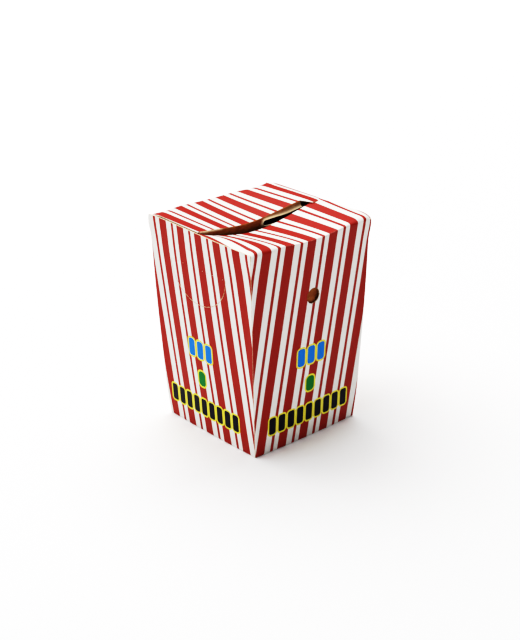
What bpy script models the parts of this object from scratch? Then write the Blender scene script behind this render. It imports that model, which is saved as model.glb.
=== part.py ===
# Chip box: a small takeaway carton folded from one sheet of board and shut with two top flaps.
# It tapers towards its base. The front flap is folded in first and bows down into the box. The
# back flap covers the other half, and its tongue hangs down just behind the front flap's edge.
# The carton is one sheet, so it is built as one open surface and gets its thickness at the end.
# Metres, +Z up. The origin is the middle of the base, and the front wall faces -Y.

import math

import bmesh
import bpy

# The carton
TOP_WIDTH = 0.078
BASE_WIDTH = 0.0675
HEIGHT = 0.111
BOARD = 0.0005
CORNER_RADIUS = 0.0010
CORNER_SEGMENTS = 3
WALL_SLOPE = (TOP_WIDTH - BASE_WIDTH) / 2 / HEIGHT

# The round hole in the front wall that lets steam out
VENT_RADIUS = 0.00415
VENT_DROP = 0.0318
VENT_ACROSS = 0.0015
VENT_SIDES = 40

# Both top flaps are cut into this grid
FLAP_COLUMNS = 30
FLAP_ROWS = 7
FOLD_RADIUS = 0.0006

# The front flap: how deep it lies at its fold, at its free edge and at its sides
FRONT_HALF_WIDTH = 0.0379
FRONT_EDGE_Y = 0.0010
FRONT_LOWEST_X = 0.002
FRONT_FOLD_DEPTH = 0.00175
FRONT_EDGE_DEPTH = 0.0096
FRONT_SIDE_DEPTH = 0.0010

# The back flap, from its fold to the crease where the tongue starts
BACK_HALF_WIDTH = 0.0377
BACK_CREASE_Y = 0.0025
BACK_LOWEST_X = -0.009
BACK_FOLD_DEPTH = 0.0012
BACK_CREASE_DEPTH = 0.0039

# The ear that rests on the front flap, and the tongue that hangs from the crease
EAR_FROM_X = 0.0315
EAR_REACH = 0.0048
COLLAR_DEPTH = 0.0030
TONGUE_FROM_X = -0.027
TONGUE_TO_X = 0.0035
TONGUE_DEPTH = 0.016
TONGUE_ROWS = 5
TONGUE_LEAN = 0.10

BOARD_COLOUR = (0.58, 0.10, 0.07, 1.0)
BOARD_ROUGHNESS = 0.55


def clear_scene():
    for obj in list(bpy.data.objects):
        bpy.data.objects.remove(obj, do_unlink=True)


def new_collection(name):
    collection = bpy.data.collections.new(name)
    bpy.context.scene.collection.children.link(collection)
    return collection


def board_material():
    material = bpy.data.materials.new("printed folding board")
    material.use_nodes = True
    shader = material.node_tree.nodes["Principled BSDF"]
    shader.inputs["Base Color"].default_value = BOARD_COLOUR
    shader.inputs["Roughness"].default_value = BOARD_ROUGHNESS
    shader.inputs["Metallic"].default_value = 0.0
    return material


def dip(x, lowest_x, half_width):
    """How much of the full depth a flap has at x: 1 on its lowest line and 0 at its sides."""
    span = half_width - lowest_x if x > lowest_x else half_width + lowest_x
    return max(0.0, math.cos(math.pi / 2 * (x - lowest_x) / span))


def front_depth(x, share):
    middle = FRONT_FOLD_DEPTH + (FRONT_EDGE_DEPTH - FRONT_FOLD_DEPTH) * share
    level = dip(x, FRONT_LOWEST_X, TOP_WIDTH / 2)
    return middle * level + FRONT_SIDE_DEPTH * share * (1 - level)


def back_depth(x, share):
    middle = BACK_FOLD_DEPTH + (BACK_CREASE_DEPTH - BACK_FOLD_DEPTH) * share
    return middle * dip(x, BACK_LOWEST_X * share, TOP_WIDTH / 2)


def extrude_row(bm, edges, place):
    """Extrudes a row of edges, moves each new point with place, and returns the new row."""
    made = bmesh.ops.extrude_edge_only(bm, edges=edges)["geom"]
    points = {item for item in made if isinstance(item, bmesh.types.BMVert)}
    for point in points:
        point.co = place(point.co)
    return [
        item
        for item in made
        if isinstance(item, bmesh.types.BMEdge) and points.issuperset(item.verts)
    ]


def middle_x(edge):
    return (edge.verts[0].co.x + edge.verts[1].co.x) / 2


def make_walls(bm):
    """The four tapered walls and the base, with rounded folds and no top."""
    bmesh.ops.create_cube(bm, size=1.0)
    for vert in bm.verts:
        above = vert.co.z > 0
        width = TOP_WIDTH if above else BASE_WIDTH
        vert.co = (vert.co.x * width, vert.co.y * width, HEIGHT if above else 0.0)
    top = [face for face in bm.faces if face.normal.z > 0.9]
    bmesh.ops.delete(bm, geom=top, context="FACES_ONLY")
    folds = [edge for edge in bm.edges if not edge.is_boundary]
    bmesh.ops.bevel(
        bm,
        geom=folds,
        affect="EDGES",
        offset=CORNER_RADIUS,
        segments=CORNER_SEGMENTS,
        profile=0.5,
        material=-1,
    )


def on_wall_top(vert, side):
    return (
        abs(vert.co.z - HEIGHT) < 1e-6 and abs(vert.co.y - side * TOP_WIDTH / 2) < 1e-6
    )


def top_fold(bm, side, depth):
    """The wall's top edge on the side y = -1 or +1, cut into columns and bowed down by depth."""
    fold = [edge for edge in bm.edges if all(on_wall_top(v, side) for v in edge.verts)]
    bmesh.ops.subdivide_edges(bm, edges=fold, cuts=FLAP_COLUMNS - 1)
    row = [edge for edge in bm.edges if all(on_wall_top(v, side) for v in edge.verts)]
    for vert in {vert for edge in row for vert in edge.verts}:
        drop = depth(vert.co.x)
        vert.co.y -= side * WALL_SLOPE * drop
        vert.co.z -= drop
    return row


def make_front_flap(bm):
    """Returns the row of edges where the flap meets its wall."""
    fold = top_fold(bm, -1, lambda x: front_depth(x, 0.0))
    row = fold
    for number in range(1, FLAP_ROWS + 1):
        share = number / FLAP_ROWS
        widest = max(vert.co.x for edge in row for vert in edge.verts)

        def place(co):
            x = co.x * FRONT_HALF_WIDTH / widest
            y = -TOP_WIDTH / 2 + share * (TOP_WIDTH / 2 + FRONT_EDGE_Y)
            return (x, y, HEIGHT - front_depth(x, share))

        row = extrude_row(bm, row, place)
    return fold


def make_back_flap(bm):
    """Returns the row where the flap meets its wall, and the crease that the tongue hangs from."""
    fold = top_fold(bm, 1, lambda x: back_depth(x, 0.0))
    row = fold
    for number in range(1, FLAP_ROWS + 1):
        share = number / FLAP_ROWS
        widest = max(vert.co.x for edge in row for vert in edge.verts)

        def place(co):
            x = co.x * BACK_HALF_WIDTH / widest
            y = TOP_WIDTH / 2 - share * (TOP_WIDTH / 2 - BACK_CREASE_Y)
            return (x, y, HEIGHT - back_depth(x, share))

        row = extrude_row(bm, row, place)
    return fold, row


def make_ear(bm, crease):
    ear = [edge for edge in crease if middle_x(edge) > EAR_FROM_X]
    extrude_row(bm, ear, lambda co: (co.x, co.y - EAR_REACH, co.z))


def make_tongue(bm, crease):
    """A short collar all along the crease, and the longer tongue that goes on down from it."""
    collar = [edge for edge in crease if middle_x(edge) < EAR_FROM_X]
    row = extrude_row(bm, collar, lambda co: (co.x, co.y, co.z - COLLAR_DEPTH))
    tongue = [edge for edge in row if TONGUE_FROM_X < middle_x(edge) < TONGUE_TO_X]
    drop = (TONGUE_DEPTH - COLLAR_DEPTH) / TONGUE_ROWS
    for _ in range(TONGUE_ROWS):
        tongue = extrude_row(
            bm, tongue, lambda co: (co.x, co.y + TONGUE_LEAN * drop, co.z - drop)
        )


def make_carton(collection, material):
    bm = bmesh.new()
    make_walls(bm)
    front_fold = make_front_flap(bm)
    back_fold, crease = make_back_flap(bm)
    make_ear(bm, crease)
    make_tongue(bm, crease)
    bmesh.ops.bevel(
        bm,
        geom=front_fold + back_fold,
        affect="EDGES",
        offset=FOLD_RADIUS,
        segments=CORNER_SEGMENTS,
        profile=0.5,
        material=-1,
    )
    mesh = bpy.data.meshes.new("carton")
    bm.to_mesh(mesh)
    bm.free()
    mesh.materials.append(material)
    carton = bpy.data.objects.new("carton", mesh)
    collection.objects.link(carton)
    thickness = carton.modifiers.new("board thickness", "SOLIDIFY")
    thickness.thickness = BOARD
    thickness.offset = -1.0
    thickness.use_even_offset = True
    thickness.use_quality_normals = True
    return carton


def cut_vent(carton, cutters):
    """Punches the round vent through the front wall, square to the back one."""
    bpy.ops.mesh.primitive_cylinder_add(
        vertices=VENT_SIDES,
        radius=VENT_RADIUS,
        depth=TOP_WIDTH / 8,
        location=(
            VENT_ACROSS,
            -TOP_WIDTH / 2 + WALL_SLOPE * VENT_DROP,
            HEIGHT - VENT_DROP,
        ),
        rotation=(math.pi / 2, 0.0, 0.0),
    )
    cutter = bpy.context.object
    cutter.name = "vent_cutter"
    cutter.hide_render = True
    cutter.display_type = "WIRE"
    for collection in list(cutter.users_collection):
        collection.objects.unlink(cutter)
    cutters.objects.link(cutter)
    cut = carton.modifiers.new("vent", "BOOLEAN")
    cut.operation = "DIFFERENCE"
    cut.solver = "EXACT"
    cut.object = cutter


clear_scene()
parts = new_collection("chip box")
helpers = new_collection("cutters")
box = make_carton(parts, board_material())
cut_vent(box, helpers)
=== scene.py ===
import math

import bmesh
import bpy
from mathutils import Matrix, Vector


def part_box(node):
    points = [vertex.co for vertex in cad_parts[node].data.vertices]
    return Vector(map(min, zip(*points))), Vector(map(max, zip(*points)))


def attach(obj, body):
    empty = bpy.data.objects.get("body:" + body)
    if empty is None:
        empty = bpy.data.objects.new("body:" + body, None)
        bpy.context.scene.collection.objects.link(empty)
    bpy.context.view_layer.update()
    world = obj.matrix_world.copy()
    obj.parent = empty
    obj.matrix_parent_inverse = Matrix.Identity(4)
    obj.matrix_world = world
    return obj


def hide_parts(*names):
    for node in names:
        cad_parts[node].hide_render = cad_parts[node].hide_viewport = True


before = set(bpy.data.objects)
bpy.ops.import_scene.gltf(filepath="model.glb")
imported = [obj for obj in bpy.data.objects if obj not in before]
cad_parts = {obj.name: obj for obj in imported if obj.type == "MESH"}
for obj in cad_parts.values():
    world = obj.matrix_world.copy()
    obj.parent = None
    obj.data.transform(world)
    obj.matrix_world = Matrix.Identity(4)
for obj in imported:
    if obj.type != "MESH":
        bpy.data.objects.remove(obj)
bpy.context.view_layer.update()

mm = 0.001
cartonLow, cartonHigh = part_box("carton")
topHalf = (cartonHigh.x - cartonLow.x) / 2
height = cartonHigh.z - cartonLow.z

# The whole carton is one die-cut sheet. Each wall is a strip of it that starts with its base flap,
# climbs the wall and ends in its top flap. A place on a strip is s, from -1 to 1 across it, and v,
# measured up the board from the wall's top edge.
carton = {
    "baseShare": 0.875,  # the base's width as a share of the top's
    "board": 0.5 * mm,
    "cornerRadius": 0.9 * mm,
    "cornerBelly": 0.85 * mm,  # how far the corners bow out half way down
    "footBelly": 0.3 * mm,  # and a little above the foot
    "footUp": 15 * mm,
    "shoulder": 0.75 * mm,  # and just under the top folds
    "shoulderDown": 3 * mm,
    "shoulderSpan": 6 * mm,
    "cornerPower": 8,  # how fast the corners' swell dies away along a wall
    "bellyPower": 2.2,  # how broad a wall's bulge is across it
    "footReach": 0.7 * mm,  # half the width of the rounded fold at the foot
}
baseHalf = topHalf * carton["baseShare"]
slant = math.hypot(height, topHalf - baseHalf)

# belly is how far a wall bulges at its top, half way down and at its base; rise is how far its raw
# top edge stands over the lid's level at its two ends; printMiddle is where its bars are centred
walls = {
    "front": {"turn": 0, "belly": (1.5 * mm, 1.3 * mm, 0.85 * mm), "printMiddle": 0.7 * mm},
    "right": {
        "turn": 90,
        "belly": (0.2 * mm, 1.4 * mm, 0.9 * mm),
        "rise": (-0.9 * mm, -0.9 * mm),
        "printMiddle": -3.6 * mm,
    },
    "back": {"turn": 180, "belly": (1.5 * mm, 1.2 * mm, 0.8 * mm), "printMiddle": 0.7 * mm},
    "left": {
        "turn": 270,
        "belly": (0.6 * mm, 1.1 * mm, 0.7 * mm),
        "rise": (0.3 * mm, -0.4 * mm),
        "printMiddle": -3.6 * mm,
    },
}

# the left wall's raw edge flares out near the front and is drawn in near the back
rawFlare = {"out": 0.45 * mm, "down": 10 * mm}

# the left wall is glued over a tab that goes on from the front wall, and its edge stands off a little
seam = {
    "short": 0.5 * mm,  # how far short of the corner the wall's edge stops
    "lift": 0.12 * mm,
    "liftLength": 40 * mm,
    "tabWidth": 12 * mm,
    "tabUnder": 0.56 * mm,
    "tabSink": 1.3 * mm,  # how far from the corner the tab is down at its full depth
}


def smooth(value):
    value = min(1.0, max(0.0, value))
    return value * value * (3 - 2 * value)


def mix(a, b, share):
    return a + (b - a) * share


def hump(x, middle, width):
    return math.exp(-(((x - middle) / width) ** 2))


def spread(start, end, count):
    return [mix(start, end, number / count) for number in range(count + 1)]


def merged(*lists):
    # several lists of places as one sorted list without doubles
    places = sorted(value for values in lists for value in values)
    before = [places[0] - 1] + places
    return [value for last, value in zip(before, places) if value - last > 1e-6]


def halfWidth(y):
    return mix(topHalf, baseHalf, -y / slant)


def cornerSwell(y):
    # how far the corners stand out of the plain taper
    down = -y / slant
    foot = carton["footBelly"] * hump(slant + y, carton["footUp"], carton["footUp"])
    shoulder = carton["shoulder"] * hump(y, -carton["shoulderDown"], carton["shoulderSpan"])
    return carton["cornerBelly"] * 4 * down * (1 - down) + foot + shoulder


def cornerHalf(y):
    return halfWidth(y) + cornerSwell(y)


def bellyAt(wall, y):
    down = -y / slant
    top, middle, base = walls[wall]["belly"]
    bulge = top * (1 - down) * (1 - 2 * down) + middle * 4 * down * (1 - down)
    return bulge + base * down * (2 * down - 1)


def place(wall, x, out, z):
    turned = Matrix.Rotation(math.radians(walls[wall]["turn"]), 3, "Z")
    return turned @ Vector((x, -out, z))


def wallOut(wall, s, y):
    bulge = bellyAt(wall, y) * (1 - abs(s) ** carton["bellyPower"])
    if wall == "left":
        # 2.6 brings the curve's two peaks to the whole flare
        bulge += rawFlare["out"] * 2.6 * s * (1 - s * s) * hump(y, 0.0, rawFlare["down"])
    return halfWidth(y) + bulge + cornerSwell(y) * s ** carton["cornerPower"]


def wallPoint(wall, s, y):
    half = cornerHalf(y)
    radius = carton["cornerRadius"]
    into = max(0.0, abs(s) * half - half + radius) / radius
    turn = min(1.0, into) * math.pi / 4
    if wall == "left" and s > 0:
        turn = 0.0  # the glued edge stops before the corner
    side = s * half if turn == 0 else math.copysign(half - radius + radius * math.sin(turn), s)
    out = wallOut(wall, s, y) - radius * (1 - math.cos(turn))
    if wall == "left":
        near = smooth(1 + (s - 1) * half / seam["tabWidth"])
        out += seam["lift"] * near * smooth(1 + y / seam["liftLength"])
    return place(wall, side, out, height * (1 + y / slant))


# fold and end give a flap's depth under the lid's level along its fold and its free edge: level,
# hollow depth, where its middle is, and the width and steepness of its left and right sides.
# power says how the depth goes from one to the other, at the left side and on the rest. left and
# right are the side edges, and curl is how far each turns down near the fold and at the free edge.
# endOut, endBow and endSkew say how far out from the carton's middle the free edge lies, how much it
# bows and how much it is askew. pull is how far the print is drawn in near each side, and how fast it
# goes out again at the edge.
topFlaps = {
    "front": {
        "fold": (-2.1 * mm, 3.9 * mm, 0.1 * mm, (29.6 * mm, 2), (29.6 * mm, 2)),
        "end": (-4.0 * mm, 11.5 * mm, -2.8 * mm, (40 * mm, 2), (40 * mm, 2)),
        "power": (2.5, 1.25),
        "left": 39.3 * mm,
        "right": 40.5 * mm,
        "endOut": 0.0 * mm,
        "endBow": 0.0 * mm,
        "endSkew": 0.9 * mm,
        "curl": ((2.0 * mm, -1.0 * mm), (0.9 * mm, 0.3 * mm)),
        "curlSpan": (4.6 * mm, 5 * mm),
        "pull": ((0.0 * mm, 0.0 * mm), (0.0 * mm, 0.0 * mm)),
        "length": 40 * mm,
    },
    "back": {
        "fold": (-2.75 * mm, 4.2 * mm, -8 * mm, (50 * mm, 2), (50 * mm, 2)),
        "end": (-1.2 * mm, 5.35 * mm, 3.2 * mm, (30 * mm, 2), (30 * mm, 2)),
        "power": (0.8, 0.8),
        "left": 41.0 * mm,
        "right": 37.7 * mm,
        "endOut": 2.4 * mm,
        "endBow": 1.4 * mm,
        "endSkew": -0.78 * mm,
        "curl": ((0.2 * mm, 0.7 * mm), (0.0 * mm, 0.0 * mm)),
        "curlSpan": (5 * mm, 3 * mm),
        "pull": ((0.2 * mm, 0.0625 * mm), (0.0 * mm, 0.0 * mm)),
        "length": 36.6 * mm,
    },
}

flapSide = {
    "powerFrom": -34 * mm,  # where the left side's power starts to give way to the other
    "powerSpan": 14 * mm,
    "sideBy": 9 * mm,  # how far past the fold its side edges reach left and right
    "curlBy": 1 / 8,  # the share of the flap by which its curl is whole
    "pullBy": 1 / 4,  # and its pull
    "pullFrom": 14 * mm,
    "pullSpan": 20 * mm,
    "pullEnd": 34,  # in millimetres, where the print starts to go out again
}

# how far the rounded fold reaches below and above its line, where it is pressed crisp and at its two
# ends, where it is never pressed flat
topFold = {
    "crispReach": 0.5 * mm,
    "belowReach": 2.4 * mm,
    "aboveReach": 6.5 * mm,
    "crisp": (-16 * mm, 17 * mm),
    "fade": 14 * mm,
    "held": 3.5 * mm,  # how far from the corners the walls beside it hold the fold up
    "heldBy": 5 * mm,
}


def hollow(x, level, deep, middle, left, right):
    # a hollow whose two sides have their own width and steepness
    width, power = left if x < middle else right
    return level + deep * math.exp(-(abs((x - middle) / width) ** power))


def flapDepth(wall, x, share):
    flap = topFlaps[wall]
    fold, end = hollow(x, *flap["fold"]), hollow(x, *flap["end"])
    leftPower, power = flap["power"]
    power = mix(leftPower, power, smooth((x - flapSide["powerFrom"]) / flapSide["powerSpan"]))
    depth = mix(fold, end, max(0.0, share) ** power)
    for side, curl, span in zip((-topHalf, topHalf), flap["curl"], flap["curlSpan"]):
        turned = mix(*curl, max(0.0, share) ** power) * smooth(share / flapSide["curlBy"])
        depth += turned * hump(x, side, span)
    # at the corners the fold is held at the height of the walls beside it
    free = smooth((topHalf - abs(x)) / topFold["held"])
    return depth * mix(free, 1.0, smooth(share * flap["length"] / topFold["heldBy"]))


def flapPlan(wall, s, share):
    # where a place on a flap lies from above: across, and out from the carton's middle
    flap = topFlaps[wall]
    sideHalf = flap["left"] if s < 0 else flap["right"]
    x = s * mix(cornerHalf(0.0), sideHalf, smooth(share * flap["length"] / flapSide["sideBy"]))
    end = flap["endOut"] + flap["endBow"] * (1 - s * s) + flap["endSkew"] * s
    return x, mix(wallOut(wall, s, 0.0), end, share)


def flapPoint(wall, s, up):
    share = up / topFlaps[wall]["length"]
    x, out = flapPlan(wall, s, share)
    return place(wall, x, out, height - flapDepth(wall, s * topHalf, share))


def foldDrop(wall, s):
    return flapDepth(wall, s * topHalf, 0.0)


def foldRounding(s):
    # 0 where the top fold is pressed crisp, rising to 1 towards its two ends
    start, end = topFold["crisp"]
    return smooth(max(start - s * topHalf, s * topHalf - end) / topFold["fade"])


def bend(lower, upper, y, below, above):
    # a rounded fold at y = 0 between two functions of y that meet there
    if y <= -below:
        return lower(y)
    if y >= above:
        return upper(y)
    t = (y + below) / (below + above)
    return lower(-below) * (1 - t) ** 2 + upper(0.0) * 2 * t * (1 - t) + upper(above) * t**2


def alongWall(wall, s, v):
    # how far up the wall a strip's v comes: its top follows the fold's hollow or the raw edge
    if wall in topFlaps:
        drop = foldDrop(wall, s)
        return v * (slant - drop) / slant - drop
    return v + mix(*walls[wall]["rise"], (s + 1) / 2) * smooth(1 + v / topFold["belowReach"])


def acrossWall(wall, s):
    # the left wall stops short of the corner that its glued edge covers
    return mix(-1.0, 1.0 - seam["short"] / topHalf, (s + 1) / 2) if wall == "left" else s


# lift is how high a base flap lies, as the four lie one over another
baseFlaps = {
    "front": {"length": 44 * mm, "lift": 0.0 * mm, "endHalf": 24 * mm},
    "right": {"length": 30 * mm, "lift": 1.3 * mm, "endHalf": 12 * mm},
    "back": {"length": 33 * mm, "lift": 0.65 * mm, "endHalf": 29 * mm},
    "left": {"length": 30 * mm, "lift": 1.9 * mm, "endHalf": 12 * mm},
}
baseSide = {
    "inset": 0.8 * mm,
    "insetBy": 1 / 6,
    "taperFrom": 0.35,  # as a share of the flap's length
    "liftBy": 4 * mm,
}


def baseAcross(wall, s, past):
    # a base flap's sides run straight at first and then taper
    flap = baseFlaps[wall]
    share = -past / flap["length"]
    half = cornerHalf(-slant) - baseSide["inset"] * smooth(share / baseSide["insetBy"])
    taper = (share - baseSide["taperFrom"]) / (1 - baseSide["taperFrom"])
    return s * mix(half, flap["endHalf"], max(0.0, taper))


def basePoint(wall, s, past):
    # past is negative, from the fold at the foot of the wall inwards
    lift = baseFlaps[wall]["lift"] * smooth(-past / baseSide["liftBy"])
    return place(wall, baseAcross(wall, s, past), wallOut(wall, s, -slant) + past, lift)


def stripPoint(wall, s, v):
    def onWall(y):
        return wallPoint(wall, acrossWall(wall, s), alongWall(wall, s, y))

    def onBase(y):
        return basePoint(wall, s, y)

    def onFlap(y):
        return flapPoint(wall, s, y)

    if v < -slant / 2:
        reach = carton["footReach"]
        return bend(onBase, lambda y: onWall(y - slant), v + slant, reach, reach)
    if wall not in topFlaps:
        return onWall(v)
    rounding = foldRounding(s)
    below = mix(topFold["crispReach"], topFold["belowReach"], rounding)
    above = mix(topFold["crispReach"], topFold["aboveReach"], rounding)
    return bend(onWall, onFlap, v, below, above)


# The printed stripes run straight across the flat blank, whose walls fan out round one point
blank = {
    "fan": math.radians(5.13),  # the angle from one wall to the next
    "middleHalf": 36.37 * mm,  # half a panel's width, half way up it
    "tilt": math.radians(0.6),
    # how much wider than the fan gives each panel is
    "stretch": {"front": 0.0, "right": 0.0916, "back": -0.0053, "left": 0.0},
}


def blankPoint(wall, x, y):
    # a place on a wall or its flaps, in the flat blank
    order = ["front", "right", "back", "left"]
    number = order.index(wall)
    middleHalf = blank["middleHalf"]
    reach = middleHalf / math.tan(blank["fan"] / 2) + slant / 2 + y
    turn = (1.5 - number) * blank["fan"] + blank["tilt"]
    extra = sum(2 * blank["stretch"][name] for name in order[:number]) + blank["stretch"][wall]
    u = x * (1 + blank["stretch"][wall]) * math.cos(turn) - reach * math.sin(turn)
    return (u + extra * middleHalf, x * math.sin(turn) + reach * math.cos(turn))


def flapPrint(wall, s, up):
    # the same place on the flat board, where a flap's slope counts
    share = up / topFlaps[wall]["length"]
    x = flapPlan(wall, s, share)[0]
    # near a side edge the print lies a little further in or out than the flap's plan gives
    near, far = topFlaps[wall]["pull"][x > 0]
    out = far * max(0.0, abs(x) / mm - flapSide["pullEnd"]) ** 2
    out -= near * smooth((abs(x) - flapSide["pullFrom"]) / flapSide["pullSpan"])
    x += math.copysign(1.0, x) * out * smooth(share / flapSide["pullBy"])
    plan = flapPlan(wall, s, 0.0)[1] - flapPlan(wall, s, 1.0)[1]
    fall = flapDepth(wall, s * topHalf, 1.0) - foldDrop(wall, s)
    return blankPoint(wall, x, share * math.hypot(plan, fall) - foldDrop(wall, s))


def stripPrint(wall, s, v):
    # a place's two sets of print coordinates: on the flat blank and on its own wall
    if v > 0:
        return flapPrint(wall, s, v), (0.0, v)
    if v < -slant:
        x, y = baseAcross(wall, s, v + slant), v
    else:
        y = alongWall(wall, s, v)
        x = acrossWall(wall, s) * cornerHalf(y)
    return blankPoint(wall, x, y), (x - walls[wall]["printMiddle"], y)


ridgeWear = {"corner": 0.5, "cornerWidth": 1.2 * mm, "topWidth": 0.6 * mm, "footWidth": 1.0 * mm}


def stripWear(wall, s, v):
    # most on the ridge of a fold, fading within a millimetre or so
    ridge = 1 - abs(v + slant) / ridgeWear["footWidth"]
    if v < -topFold["belowReach"]:
        ridge = max(ridge, ridgeWear["corner"] - (1 - abs(s)) * topHalf / ridgeWear["cornerWidth"])
    if wall in topFlaps:
        ridge = max(ridge, (1 - abs(v) / ridgeWear["topWidth"]) * (1 - foldRounding(s)))
    return max(ridge, 0.0)


def newSheet():
    bm = bmesh.new()
    bm.loops.layers.uv.new("blank")
    bm.loops.layers.uv.new("panel")
    bm.verts.layers.float.new("wearAndPaintedLight")
    return bm


def noWear(s, v):
    return 0.0


def addStrip(bm, columns, rows, pointAt, printAt, wearAndLightAt=noWear, material=0):
    # lays a grid and moves each of its points to where the sheet has that column and row
    wide, tall = len(columns) - 1, len(rows) - 1
    made = bmesh.ops.create_grid(bm, x_segments=wide, y_segments=tall, size=1.0)["verts"]
    wearAndPaintedLight = bm.verts.layers.float["wearAndPaintedLight"]
    where = {}
    for vert in made:
        s = columns[round((vert.co.x + 1) / 2 * wide)]
        v = rows[round((vert.co.y + 1) / 2 * tall)]
        where[vert] = (s, v)
        vert.co = pointAt(s, v)
        # fold wear on the printed faces, and on the tongue its pale bands and painted light
        vert[wearAndPaintedLight] = wearAndLightAt(s, v)
    for face in {face for vert in made for face in vert.link_faces}:
        face.material_index = material
        face.smooth = True
        for loop in face.loops:
            flat, local = printAt(*where[loop.vert])
            loop[bm.loops.layers.uv["blank"]].uv = flat
            loop[bm.loops.layers.uv["panel"]].uv = local


# how many cells each part of the sheet has
grid = {
    "columns": 54,
    "cornerColumns": 3,
    "wallRows": 36,
    "foldRows": 12,
    "footRows": 8,
    "flapRows": 22,
    "baseRows": 10,
    "tongueRows": 8,
    "loopColumns": 10,
    "beforeLoopColumns": 5,
    "earRows": 6,
    "tabColumns": 7,
}
# the rows stand closer together this far on each side of the top folds and of the folds at the foot
foldZone = 6 * mm
footZone = 1.5 * mm
cornerShare = carton["cornerRadius"] / topHalf
plainColumns = merged(
    spread(-1, -1 + cornerShare, grid["cornerColumns"]),
    spread(-1 + cornerShare, 1 - cornerShare, grid["columns"]),
    spread(1 - cornerShare, 1, grid["cornerColumns"]),
)
wallRows = merged(
    spread(-slant - footZone, -slant + footZone, grid["footRows"]),
    spread(-slant + footZone, -foldZone, grid["wallRows"]),
    spread(-foldZone, 0.0, grid["foldRows"]),
)


# The back flap's tongue turns down at its crease and shows the board's brown back. An opening with a
# round end leaves a narrow collar under the right half of the crease.
tongue = {
    "fromX": -36.5 * mm,
    "toX": 31.2 * mm,
    "creaseReach": 0.45 * mm,
    "depth": 15 * mm,
    "taperFrom": -24 * mm,  # left of this it gets shorter, down to taperDepth
    "taperDepth": 4 * mm,
    "loopX": 5.35 * mm,
    "loopRadius": 1.55 * mm,
    "loopDrop": 2.9 * mm,
    "collarGrows": 1.6 * mm,
    "collarSpan": 17 * mm,
    "openingGrows": 3.8 * mm,
    "openingSpan": 24 * mm,
    "lipReach": 0.75 * mm,  # the opening's edge turns a little outwards
    "lipWidth": 1.0 * mm,
    "collarLean": 0.22,
    "leanSpan": 4 * mm,
    "spacing": 1.7,  # more than 1 brings the rows closer together under the opening
    "columnsBefore": 1.5 * mm,
}

# where the tongue's brown face is painted pale: on the collar, from collarFrom past the opening's round
# end on, as painted light, paler lit board towards the opening with painted shade left under the
# crease; along the opening's edge, partly the cream of its cut edge and partly painted highlight; and
# in a narrow pale band under the crease left of creaseTo
paleAndPaintedLightReach = {
    "most": 0.9,
    "collarFrom": -2 * mm,
    "collarSpan": 9 * mm,
    "collarPower": 2.2,
    "creaseTo": -20 * mm,
    "creaseFade": 3 * mm,
    "creaseWidth": 0.9 * mm,
}

ear = {
    "fromX": 31.8 * mm,
    "slant": 2.5 * mm,
    "least": 0.3 * mm,
    "reach": 6.6 * mm,
    "droop": 0.3 * mm,
}


def backAcross(x):
    # s on the back flap at the carton's own x, which runs the other way
    sideHalf = topFlaps["back"]["left"] if x > 0 else topFlaps["back"]["right"]
    return -x / sideHalf


def backX(s):
    return -flapPlan("back", s, 1.0)[0]


def openingColumns():
    # columns that stand close enough together for the round end of the tongue's opening
    radius = tongue["loopRadius"]
    start = tongue["loopX"]
    before = spread(start - tongue["columnsBefore"], start, grid["beforeLoopColumns"])
    angles = spread(0, math.pi / 2, grid["loopColumns"])
    arc = [start + radius * (1 - math.cos(angle)) for angle in angles]
    return [backAcross(x) for x in before + arc]


backColumns = merged(
    plainColumns,
    openingColumns(),
    [backAcross(x) for x in (tongue["fromX"], tongue["toX"], ear["fromX"])],
)
creaseAt = topFlaps["back"]["length"]
flapEnd = creaseAt - tongue["creaseReach"]


def wallStrip(bm, wall):
    baseRows = spread(-slant - baseFlaps[wall]["length"], -slant - footZone, grid["baseRows"])
    rows = merged(baseRows, wallRows)
    if wall in topFlaps:
        end = flapEnd if wall == "back" else topFlaps[wall]["length"]
        foldRows = spread(0.0, foldZone, grid["foldRows"])
        rows = merged(rows, foldRows, spread(foldZone, end, grid["flapRows"]))
    addStrip(
        bm,
        backColumns if wall == "back" else plainColumns,
        rows,
        lambda s, v: stripPoint(wall, s, v),
        lambda s, v: stripPrint(wall, s, v),
        lambda s, v: stripWear(wall, s, v),
    )


def openingEdges(x):
    # how far below the crease the opening's upper and lower edges lie
    past = x - tongue["loopX"]
    radius, middle = tongue["loopRadius"], tongue["loopDrop"]
    if past <= 0:
        return middle, middle
    bulge = math.sqrt(max(0.0, radius**2 - (radius - min(past, radius)) ** 2))
    upper = middle - bulge + tongue["collarGrows"] * smooth((past - radius) / tongue["collarSpan"])
    lower = middle + bulge + tongue["openingGrows"] * smooth((past - radius) / tongue["openingSpan"])
    return upper, lower


def fromOpening(x, down):
    # how far a place on the tongue is from the opening's edge
    radius = tongue["loopRadius"]
    centre = tongue["loopX"] + radius
    upper, lower = openingEdges(max(x, centre))
    if x < centre:
        return math.hypot(centre - x, down - tongue["loopDrop"]) - radius
    return min(abs(down - upper), abs(down - lower))


def lipAt(x, down):
    # how far the opening's edge turns outwards
    return tongue["lipReach"] * max(0.0, 1 - fromOpening(x, down) / tongue["lipWidth"]) ** 2


def tongueDown(s, row):
    # how far below the crease a row lies: 0 to 1 run above the opening, 2 to 3 below it
    x = backX(s)
    upper, lower = openingEdges(x)
    taper = smooth((x - tongue["fromX"]) / (tongue["taperFrom"] - tongue["fromX"]))
    bottom = mix(tongue["taperDepth"], tongue["depth"], taper)
    if row <= 1:
        return mix(-tongue["creaseReach"], upper, row)
    return mix(lower, bottom, (row - 2) ** tongue["spacing"])


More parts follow.
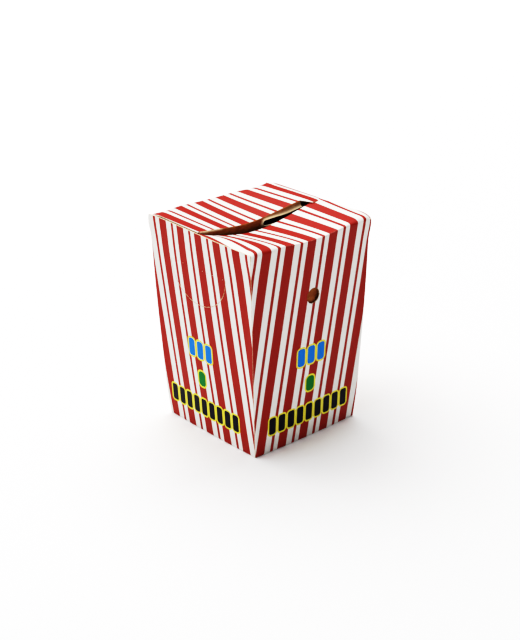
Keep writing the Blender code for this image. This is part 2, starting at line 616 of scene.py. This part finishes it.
def hangingPoint(s, row):
    x = backX(s)
    reach = tongue["creaseReach"]
    crease = stripPoint("back", s, creaseAt)
    before = stripPoint("back", s, flapEnd)
    lean = tongue["collarLean"] * smooth((x - tongue["loopX"]) / tongue["leanSpan"])

    def below(down):
        return crease + Vector((0.0, -lean * down - lipAt(x, down), -down))

    return bend(lambda down: before, below, tongueDown(s, row), reach, reach)


def bareBoard(s, row):
    return blankPoint("back", 0.0, 0.0), (1.0, 1.0)


# how much pale cream the tongue's brown face takes; on the collar this is painted light, rising towards
# the opening so the crease side stays in painted shade
def paleAndPaintedLight(s, row):
    x, down = backX(s), tongueDown(s, row)
    collar = 0.0
    if row <= 1:
        collar = smooth((x - tongue["loopX"] - paleAndPaintedLightReach["collarFrom"]) / paleAndPaintedLightReach["collarSpan"])
        collar *= row ** paleAndPaintedLightReach["collarPower"]
    crease = smooth((paleAndPaintedLightReach["creaseTo"] - x) / paleAndPaintedLightReach["creaseFade"]) * smooth(1.3 - down / paleAndPaintedLightReach["creaseWidth"])
    edge = smooth(1.25 - fromOpening(x, down) / tongue["lipWidth"])
    return max(collar, paleAndPaintedLightReach["most"] * crease, paleAndPaintedLightReach["most"] * edge)


def addTongue(bm):
    first, last = backAcross(tongue["toX"]), backAcross(tongue["fromX"])
    columns = [s for s in backColumns if first - 1e-6 < s < last + 1e-6]
    for start in (0, 2):
        rows = spread(start, start + 1, grid["tongueRows"])
        addStrip(bm, columns, rows, hangingPoint, bareBoard, paleAndPaintedLight, material=1)


def earPoint(s, share):
    start = stripPoint("back", s, flapEnd)
    ahead = (start - stripPoint("back", s, flapEnd - 5 * mm)).normalized()
    reach = mix(ear["least"], ear["reach"], smooth((backX(s) - ear["fromX"]) / ear["slant"]))
    return start + ahead * reach * share - Vector((0.0, 0.0, ear["droop"] * share**2))


def earPrint(s, share):
    return flapPrint("back", s, flapEnd + share * ear["reach"]), (1.0, 1.0)


def addEar(bm):
    columns = [s for s in backColumns if s < backAcross(ear["fromX"]) + 1e-6]
    addStrip(bm, columns, spread(0, 1, grid["earRows"]), earPoint, earPrint)


def tabPoint(inward, y):
    half = cornerHalf(y)
    radius = carton["cornerRadius"]
    turn = min(1.0, max(0.0, (radius - inward) / radius)) * math.pi / 4
    side = half - inward if turn == 0 else half - radius + radius * math.sin(turn)
    out = wallOut("left", 1 - inward / half, y) - radius * (1 - math.cos(turn))
    out -= seam["tabUnder"] * smooth(inward / seam["tabSink"])
    return place("left", side, out, height * (1 + y / slant))


def addTab(bm):
    # the glue tab goes on round the corner from the front wall, under the left wall's edge. Its columns
    # run inwards from the corner, which is right to left, so they are given as negative.
    rows = [v for v in wallRows if -slant + footZone < v < -topFold["belowReach"] - 0.1 * mm]
    radius = carton["cornerRadius"]
    flat = spread(-seam["tabWidth"], -radius, grid["tabColumns"])
    columns = merged(flat, spread(-radius, 0.0, grid["cornerColumns"]))

    def tabPrint(inward, y):
        return blankPoint("front", -cornerHalf(y) - inward, y), (1.0, 1.0)

    addStrip(bm, columns, rows, lambda c, y: tabPoint(-c, y), lambda c, y: tabPrint(-c, y))


def addNode(tree, kind, settings=None, links=None, output=0):
    # adds a node with its own properties and its sockets' values or sources, and gives back an output
    node = tree.nodes.new("ShaderNode" + kind)
    for name, value in (settings or {}).items():
        setattr(node, name, value)
    for name, value in (links or {}).items():
        if isinstance(value, bpy.types.NodeSocket):
            tree.links.new(value, node.inputs[name])
        else:
            node.inputs[name].default_value = value
    return node.outputs[output]


def hexColour(text):
    # an sRGB hex colour as the linear one that the shader takes
    channels = [int(text[i : i + 2], 16) / 255 for i in (1, 3, 5)]
    return [c / 12.92 if c <= 0.04045 else ((c + 0.055) / 1.055) ** 2.4 for c in channels] + [1.0]


def newMaterial(name):
    material = bpy.data.materials.new(name)
    material.use_nodes = True
    tree = material.node_tree
    return material, tree, tree.nodes["Principled BSDF"]


printed = {
    "white": "#f2f0eb",
    "red": "#9f281d",
    "softness": 0.09,  # in millimetres, half the width of an ink edge
    "cracked": "#f2cdb8",
    "outline": "#ece04a",
    "outlineWidth": 0.88,
    "cloudSize": 4.0,  # in millimetres
    "crackSize": 0.385 * mm,
    "crackWeight": 0.38,
    "roughness": (0.4, 0.5),
    "glossSize": 8.33 * mm,
    "specular": 0.1,
    "toothSize": 0.625 * mm,
}

# Three rows of rounded bars stand on each wall, with a yellow outline. middle, pitch, half size and
# corner radius are in millimetres, and most is how many bars stand on each side of the middle one.
barRows = [
    {"middle": -63.8, "pitch": 6.6, "most": 1, "half": (2.4, 4.9), "radius": 1.6, "ink": "#0a7ad8"},
    {"middle": -80.0, "pitch": 9.0, "most": 0, "half": (2.7, 4.2), "radius": 2.2, "ink": "#0d7a30"},
    {"middle": -96.4, "pitch": 6.1, "most": 4, "half": (2.15, 4.7), "radius": 1.3, "ink": "#0b0818"},
]


def inkMask(tree, distance, edge=0.0):
    # 1 where a distance in millimetres is under the edge, with the soft step that offset ink has
    soft = printed["softness"]
    settings = {"interpolation_type": "SMOOTHSTEP"}
    limits = {"Value": distance, "From Min": edge + soft, "From Max": edge - soft}
    return addNode(tree, "MapRange", settings, limits)


# in millimetres across the blank: a wide stripe and a thin one in each period
stripes = {"period": 14.1, "wideMiddle": -112.25, "wide": 5.65, "thin": 1.85, "thinFromWide": 7.55}


def stripeMask(tree, across, middle, width):
    fromMiddle = addNode(tree, "Math", {"operation": "SUBTRACT"}, {0: across, 1: middle})
    away = addNode(tree, "Math", {"operation": "PINGPONG"}, {0: fromMiddle, 1: stripes["period"] / 2})
    return inkMask(tree, away, width / 2)


def barDistance(tree, x, y, row):
    # how far a place on a wall is outside the nearest bar of a row
    index = addNode(tree, "Math", {"operation": "DIVIDE"}, {0: x, 1: row["pitch"]})
    index = addNode(tree, "Math", {"operation": "ROUND"}, {0: index})
    index = addNode(tree, "Clamp", None, {"Value": index, "Min": -row["most"], "Max": row["most"]})
    x = addNode(tree, "Math", {"operation": "MULTIPLY_ADD"}, {0: index, 1: -row["pitch"], 2: x})
    y = addNode(tree, "Math", {"operation": "SUBTRACT"}, {0: y, 1: row["middle"]})
    local = addNode(tree, "CombineXYZ", None, {"X": x, "Y": y})
    local = addNode(tree, "VectorMath", {"operation": "ABSOLUTE"}, {0: local})
    inner = (row["half"][0] - row["radius"], row["half"][1] - row["radius"], 0.0)
    local = addNode(tree, "VectorMath", {"operation": "SUBTRACT"}, {0: local, 1: inner})
    local = addNode(tree, "VectorMath", {"operation": "MAXIMUM"}, {0: local, 1: (0.0, 0.0, 0.0)})
    away = addNode(tree, "VectorMath", {"operation": "LENGTH"}, {0: local}, "Value")
    return addNode(tree, "Math", {"operation": "SUBTRACT"}, {0: away, 1: row["radius"]})


def coatedBoard():
    # White-lined folding boxboard, printed offset and sealed with a water-based varnish. Its inks are
    # flat and deep with clean edges under a soft satin gloss, the calendered face has a faint tooth,
    # and the ink breaks pale along the folds.
    material, tree, shader = newMaterial("white-lined folding boxboard, offset printed and varnished")
    inMm = {"operation": "SCALE"}
    blankUv = addNode(tree, "UVMap", {"uv_map": "blank"})
    flat = addNode(tree, "VectorMath", inMm, {0: blankUv, "Scale": 1 / mm})
    across = addNode(tree, "SeparateXYZ", None, {0: flat})
    wide = stripeMask(tree, across, stripes["wideMiddle"], stripes["wide"])
    thin = stripeMask(tree, across, stripes["wideMiddle"] + stripes["thinFromWide"], stripes["thin"])
    red = addNode(tree, "Math", {"operation": "MAXIMUM"}, {0: wide, 1: thin})
    inks = {0: red, 6: hexColour(printed["white"]), 7: hexColour(printed["red"])}
    colour = addNode(tree, "Mix", {"data_type": "RGBA"}, inks, 2)
    panelUv = addNode(tree, "UVMap", {"uv_map": "panel"})
    panel = addNode(tree, "VectorMath", inMm, {0: panelUv, "Scale": 1 / mm})
    x = addNode(tree, "SeparateXYZ", None, {0: panel}, "X")
    y = addNode(tree, "SeparateXYZ", None, {0: panel}, "Y")
    for row in barRows:
        distance = barDistance(tree, x, y, row)
        for ink, edge in ((printed["outline"], printed["outlineWidth"]), (row["ink"], 0.0)):
            layer = {0: inkMask(tree, distance, edge), 6: colour, 7: hexColour(ink)}
            colour = addNode(tree, "Mix", {"data_type": "RGBA"}, layer, 2)
    # the ink lies a few per cent heavier and lighter in soft clouds 4 mm across
    cloudy = {"Vector": flat, "Scale": 1 / printed["cloudSize"], "Detail": 3.0}
    clouds = addNode(tree, "TexNoise", None, cloudy)
    weight = addNode(tree, "MapRange", None, {"Value": clouds, "To Min": 0.955, "To Max": 1.035})
    colour = addNode(tree, "VectorMath", {"operation": "SCALE"}, {0: colour, "Scale": weight})
    # cracks are 0.4 mm apart along a fold
    spot = addNode(tree, "TexCoord", None, None, "Object")
    cracked = {"Vector": spot, "Scale": 1 / printed["crackSize"], "Detail": 3.0}
    crackle = addNode(tree, "TexNoise", None, cracked)
    crackle = addNode(tree, "MapRange", None, {"Value": crackle, "From Min": 0.47, "From Max": 0.6})
    wearAndLight = addNode(tree, "Attribute", {"attribute_name": "wearAndPaintedLight"}, None, "Fac")
    wearAndLight = addNode(tree, "Math", {"operation": "POWER"}, {0: wearAndLight, 1: 2.0})
    cracks = addNode(tree, "Math", {"operation": "MULTIPLY"}, {0: wearAndLight, 1: crackle})
    cracks = addNode(tree, "Math", {"operation": "MULTIPLY"}, {0: cracks, 1: printed["crackWeight"]})
    bare = {0: cracks, 6: colour, 7: hexColour(printed["cracked"])}
    colour = addNode(tree, "Mix", {"data_type": "RGBA"}, bare, 2)
    tree.links.new(colour, shader.inputs["Base Color"])
    # the varnish pools and thins in patches 8 mm across
    low, high = printed["roughness"]
    patches = {"Vector": spot, "Scale": 1 / printed["glossSize"], "Detail": 2.0}
    gloss = addNode(tree, "TexNoise", None, patches)
    gloss = addNode(tree, "MapRange", None, {"Value": gloss, "To Min": low, "To Max": high})
    tree.links.new(gloss, shader.inputs["Roughness"])
    shader.inputs["IOR"].default_value = 1.5
    shader.inputs["Specular IOR Level"].default_value = printed["specular"]
    # the tooth is far finer than a render shows, so it is drawn 0.6 mm across
    grained = {"Vector": spot, "Scale": 1 / printed["toothSize"], "Detail": 2.0}
    tooth = addNode(tree, "TexNoise", None, grained)
    relief = addNode(tree, "Bump", None, {"Strength": 0.08, "Distance": 0.0002, "Height": tooth})
    tree.links.new(relief, shader.inputs["Normal"])
    return material


kraft = {
    "dark": "#8a4a20",
    "light": "#a86434",
    "fibre": "#b87a48",
    # the pale cream on the tongue: painted light on its collar, and pale bands along its opening's edge
    # and under its crease
    "paleAndPaintedLight": "#f2dcb4",
    "patchSize": 3.85 * mm,
    "fibreLength": 2.22 * mm,
    "fibreWidth": 0.25 * mm,
    "roughness": 0.88,
    "specular": 0.2,
}


def kraftBoard():
    # The board's unbleached back: brown pulp, uncoated and dead matt, clouded in patches a few
    # millimetres across, with single paler fibres that lie along the grain.
    material, tree, shader = newMaterial("unbleached kraft board back, uncoated")
    spot = addNode(tree, "TexCoord", None, None, "Object")
    patches = {"Vector": spot, "Scale": 1 / kraft["patchSize"], "Detail": 4.0}
    clouds = addNode(tree, "TexNoise", None, patches)
    clouds = addNode(tree, "MapRange", None, {"Value": clouds, "From Min": 0.3, "From Max": 0.7})
    pulp = {0: clouds, 6: hexColour(kraft["dark"]), 7: hexColour(kraft["light"])}
    colour = addNode(tree, "Mix", {"data_type": "RGBA"}, pulp, 2)
    # fibres are 2 mm long; real ones are ten times thinner than these, too thin to show in a render
    perFibre = (1 / kraft["fibreLength"], 1 / kraft["fibreLength"], 1 / kraft["fibreWidth"])
    along = addNode(tree, "Mapping", None, {"Vector": spot, "Scale": perFibre})
    fibres = addNode(tree, "TexNoise", None, {"Vector": along, "Scale": 1.0, "Detail": 1.0})
    fibreLimits = {"Value": fibres, "From Min": 0.58, "From Max": 0.8, "To Max": 0.7}
    fibres = addNode(tree, "MapRange", None, fibreLimits)
    laid = {0: fibres, 6: colour, 7: hexColour(kraft["fibre"])}
    colour = addNode(tree, "Mix", {"data_type": "RGBA"}, laid, 2)
    # on the tongue this brings in painted light: a painted lit gradient on the collar with painted
    # shade under the crease, plus pale bands along the opening's edge and under the crease
    wearAndLight = addNode(tree, "Attribute", {"attribute_name": "wearAndPaintedLight"}, None, "Fac")
    paleAndPaintedLightPulp = {0: wearAndLight, 6: colour, 7: hexColour(kraft["paleAndPaintedLight"])}
    colour = addNode(tree, "Mix", {"data_type": "RGBA"}, paleAndPaintedLightPulp, 2)
    tree.links.new(colour, shader.inputs["Base Color"])
    shader.inputs["Roughness"].default_value = kraft["roughness"]
    shader.inputs["Specular IOR Level"].default_value = kraft["specular"]
    relief = addNode(tree, "Bump", None, {"Strength": 0.2, "Distance": 0.0003, "Height": clouds})
    tree.links.new(relief, shader.inputs["Normal"])
    return material


cutEdge = {
    "pale": "#ecdcc0",
    "tan": "#cfa878",
    "fleckSize": 1.11 * mm,
    "roughness": 0.92,
    "specular": 0.2,
}


def cutBoard():
    # The die-cut edge of the board: raw pulp between the two faces, pale and slightly furred, with
    # tan flecks where the knife tore it.
    material, tree, shader = newMaterial("raw die-cut board edge")
    spot = addNode(tree, "TexCoord", None, None, "Object")
    speckled = {"Vector": spot, "Scale": 1 / cutEdge["fleckSize"], "Detail": 3.0}
    flecks = addNode(tree, "TexNoise", None, speckled)
    flecks = addNode(tree, "MapRange", None, {"Value": flecks, "From Min": 0.45, "From Max": 0.7})
    pulp = {0: flecks, 6: hexColour(cutEdge["pale"]), 7: hexColour(cutEdge["tan"])}
    tree.links.new(addNode(tree, "Mix", {"data_type": "RGBA"}, pulp, 2), shader.inputs["Base Color"])
    shader.inputs["Roughness"].default_value = cutEdge["roughness"]
    shader.inputs["Specular IOR Level"].default_value = cutEdge["specular"]
    relief = addNode(tree, "Bump", None, {"Strength": 0.3, "Distance": 0.0002, "Height": flecks})
    tree.links.new(relief, shader.inputs["Normal"])
    return material


def addObject(name, mesh):
    piece = bpy.data.objects.new(name, mesh)
    bpy.context.scene.collection.objects.link(piece)
    return piece


def bmeshObject(name, bm):
    mesh = bpy.data.meshes.new(name)
    bm.to_mesh(mesh)
    bm.free()
    return addObject(name, mesh)


def thicken(sheet, thickness):
    board = sheet.modifiers.new("board", "SOLIDIFY")
    board.thickness = thickness
    board.offset = -1.0
    board.use_even_offset = True
    board.use_quality_normals = True
    board.material_offset = 1
    board.material_offset_rim = 3


def finished(name, source):
    # the piece with its modifiers applied, in place of the one that carried them
    mesh = bpy.data.meshes.new_from_object(source.evaluated_get(bpy.context.evaluated_depsgraph_get()))
    mesh.set_sharp_from_angle(angle=math.radians(50))  # the cut rims are sharp, the folds stay soft
    piece = addObject(name, mesh)
    bpy.data.objects.remove(source)
    return piece


def makeSheet(boards):
    bm = newSheet()
    for wall in walls:
        wallStrip(bm, wall)
    addTongue(bm)
    addEar(bm)
    addTab(bm)
    bmesh.ops.remove_doubles(bm, verts=bm.verts, dist=0.01 * mm)
    sheet = bmeshObject("cartonSheet", bm)
    for material in boards:
        sheet.data.materials.append(material)
    thicken(sheet, carton["board"])
    print("carton sheet:", len(sheet.data.polygons), "faces")
    return sheet


vent = {"x": 0.5 * mm, "y": -31.5 * mm, "radius": 4.15 * mm, "deep": 2.2 * mm}
halfMoon = {
    "x": -1.5 * mm,
    "y": -18.7 * mm,
    "wide": 21 * mm,
    "tall": 19.3 * mm,
    "cuts": 19,
    "cutLength": 3.0 * mm,
    "cutWidth": 0.36 * mm,
    "deep": 0.6 * mm,  # half of it goes into the board
    "nicks": 11,
    "nickLength": 0.5 * mm,
}


def addKnife(bm, before, after, length):
    # one short straight knife in the left wall, half way between two places and along their line
    along = (after - before).normalized()
    outward = Vector((-1.0, 0.0, 0.0))
    outward = (outward - along * outward.dot(along)).normalized()
    axes = Matrix((along, outward.cross(along), outward)).transposed().to_4x4()
    size = Matrix.Diagonal((length, halfMoon["cutWidth"], halfMoon["deep"], 1.0))
    bmesh.ops.create_cube(bm, size=1.0, matrix=Matrix.Translation((before + after) / 2) @ axes @ size)


def onLeft(x, y):
    return wallPoint("left", x / cornerHalf(y), y)


def onArc(angle):
    x = halfMoon["x"] + halfMoon["wide"] * math.cos(angle)
    return onLeft(x, halfMoon["y"] + halfMoon["tall"] * math.sin(angle))


def cutOpenings(sheet, cut):
    # the punched vent in the front wall, and the half-round perforation in the left one
    bm = bmesh.new()
    centre = wallPoint("front", vent["x"] / cornerHalf(vent["y"]), vent["y"])
    axis = Matrix.Translation(centre) @ Matrix.Rotation(math.pi / 2, 4, "X")
    size = {"radius1": vent["radius"], "radius2": vent["radius"], "depth": vent["deep"]}
    bmesh.ops.create_cone(bm, cap_ends=True, segments=64, matrix=axis, **size)
    for number in range(halfMoon["cuts"]):
        angle = math.pi * (1 + (number + 0.5) / halfMoon["cuts"])
        addKnife(bm, onArc(angle - 0.01), onArc(angle + 0.01), halfMoon["cutLength"])
    for number in range(halfMoon["nicks"]):
        x = halfMoon["x"] + halfMoon["wide"] * (2 * (number + 0.5) / halfMoon["nicks"] - 1)
        nick = halfMoon["nickLength"]
        addKnife(bm, onLeft(x - nick / 2, halfMoon["y"]), onLeft(x + nick / 2, halfMoon["y"]), nick)
    knives = bmeshObject("knives", bm)
    knives.data.materials.append(cut)
    knife = sheet.modifiers.new("knives", "BOOLEAN")
    knife.operation = "DIFFERENCE"
    knife.solver = "EXACT"
    knife.object = knives
    knife.material_mode = "TRANSFER"
    box = finished("foldedCarton", sheet)
    bpy.data.objects.remove(knives)
    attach(box, "root")
    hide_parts("carton")
    print("folded carton:", len(box.data.polygons), "faces")


# two leaves of bare board line the front wall behind the vent
lining = {
    "half": 33 * mm,
    "top": -4 * mm,
    "bottom": -52 * mm,
    "gap": 1.8 * mm,
    "board": 0.5 * mm,
    "apart": 0.05 * mm,
    "slope": 0.8,  # in radians, how the nearer leaf's edge leans
    "cells": 12,
}


def makeLining(boards):
    # two leaves of bare board one behind the other, the nearer one cut off at a slant across the vent
    bm = newSheet()

    def liningPoint(s, y):
        x = s * lining["half"]
        point = wallPoint("front", x / cornerHalf(y), y)
        return Vector((x, point.y + lining["gap"], point.z))

    rows = spread(lining["bottom"], lining["top"], lining["cells"])
    addStrip(bm, spread(-1, 1, lining["cells"]), rows, liningPoint, bareBoard, material=1)
    nearer = bmesh.ops.duplicate(bm, geom=list(bm.verts) + list(bm.edges) + list(bm.faces))["geom"]
    nearerVerts = [part for part in nearer if isinstance(part, bmesh.types.BMVert)]
    bmesh.ops.translate(bm, verts=nearerVerts, vec=(0.0, -lining["board"] - lining["apart"], 0.0))
    crossing = wallPoint("front", vent["x"] / cornerHalf(vent["y"]), vent["y"])
    slope = (math.sin(lining["slope"]), 0.0, math.cos(lining["slope"]))
    bmesh.ops.bisect_plane(bm, geom=nearer, plane_co=crossing, plane_no=slope, clear_outer=True)
    leaves = bmeshObject("liningLeaves", bm)
    for material in boards:
        leaves.data.materials.append(material)
    thicken(leaves, lining["board"])
    piece = finished("ventLining", leaves)
    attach(piece, "root")
    print("vent lining:", len(piece.data.polygons), "faces")


studio = {
    "floorSize": 12.0,
    "floor": "#fafafa",
    "floorCloud": "#fdfdfd",
    "cloudSize": 1 / 3,  # in metres
    "world": "#ffffff",
    "worldStrength": 0.2,
    "boxSize": (5.0, 5.0),
    "boxPlace": (-0.05, 2.1, 2.6),
    "boxPower": 280.0,
}

# how the bright studio reads as a picture: linear light in, linear light shown
tone = {
    "points": (
        (0.05, 0.02),
        (0.15, 0.11),
        (0.3, 0.28),
        (0.61, 0.66),
        (0.97, 0.83),
        (1.24, 0.93),
        (1.45, 0.985),
    ),
    "white": 1.6,
}


def makeStudio():
    bm = bmesh.new()
    bmesh.ops.create_grid(bm, x_segments=1, y_segments=1, size=studio["floorSize"] / 2)
    floor = bmeshObject("floor", bm)
    # a roll of matt white background paper: no gloss, and only the softest cloud in its tone
    material, tree, shader = newMaterial("matt white background paper")
    spot = addNode(tree, "TexCoord", None, None, "Object")
    cloudy = {"Vector": spot, "Scale": 1 / studio["cloudSize"], "Detail": 2.0}
    cloud = addNode(tree, "TexNoise", None, cloudy)
    paper = {0: cloud, 6: hexColour(studio["floor"]), 7: hexColour(studio["floorCloud"])}
    tree.links.new(addNode(tree, "Mix", {"data_type": "RGBA"}, paper, 2), shader.inputs["Base Color"])
    shader.inputs["Roughness"].default_value = 1.0
    shader.inputs["Specular IOR Level"].default_value = 0.1
    floor.data.materials.append(material)
    world = bpy.data.worlds.new("studio")
    world.use_nodes = True
    background = world.node_tree.nodes["Background"]
    background.inputs["Color"].default_value = hexColour(studio["world"])
    background.inputs["Strength"].default_value = studio["worldStrength"]
    bpy.context.scene.world = world
    light = bpy.data.lights.new("softBox", "AREA")
    light.shape = "RECTANGLE"
    light.size, light.size_y = studio["boxSize"]
    light.energy = studio["boxPower"]
    softBox = addObject("softBox", light)
    softBox.location = studio["boxPlace"]
    settings = bpy.context.scene.view_settings
    settings.view_transform = "Standard"
    settings.use_curve_mapping = True
    mapping = settings.curve_mapping
    mapping.white_level = [tone["white"]] * 3
    shown = mapping.curves[3]
    shown.points[0].location = (0.0, 0.0)
    shown.points[1].location = (1.0, 1.0)
    for linear, picture in tone["points"]:
        shown.points.new(linear / tone["white"], picture)
    mapping.update()
    print("studio ready")


# the camera looks at the corner between the front and left walls from a little above
view = {
    "azimuth": -40.856,
    "elevation": 23.712,
    "roll": -0.794,
    "place": (-433.818 * mm, -501.162 * mm, 345.227 * mm),
    "lens": 79.12,
}


def makeCamera():
    azimuth, elevation, roll = (math.radians(view[name]) for name in ("azimuth", "elevation", "roll"))
    flat = math.cos(elevation)
    back = Vector((math.sin(azimuth) * flat, -math.cos(azimuth) * flat, math.sin(elevation)))
    right = Vector((math.cos(azimuth), math.sin(azimuth), 0.0))
    up = back.cross(right)
    spin = Matrix.Rotation(roll, 3, back)
    right, up = spin @ right, spin @ up
    data = bpy.data.cameras.new("camera")
    data.lens = view["lens"]
    data.sensor_width = 36.0
    data.clip_start = 0.01
    camera = addObject("camera", data)
    turned = Matrix((right, up, back)).transposed().to_4x4()
    camera.matrix_world = Matrix.Translation(view["place"]) @ turned
    bpy.context.scene.camera = camera
    print("camera ready")


makeCamera()
makeStudio()
coated, bare, cut = coatedBoard(), kraftBoard(), cutBoard()
boards = (coated, bare, bare, cut, cut)
print("board materials ready")
cutOpenings(makeSheet(boards), cut)
makeLining(boards)
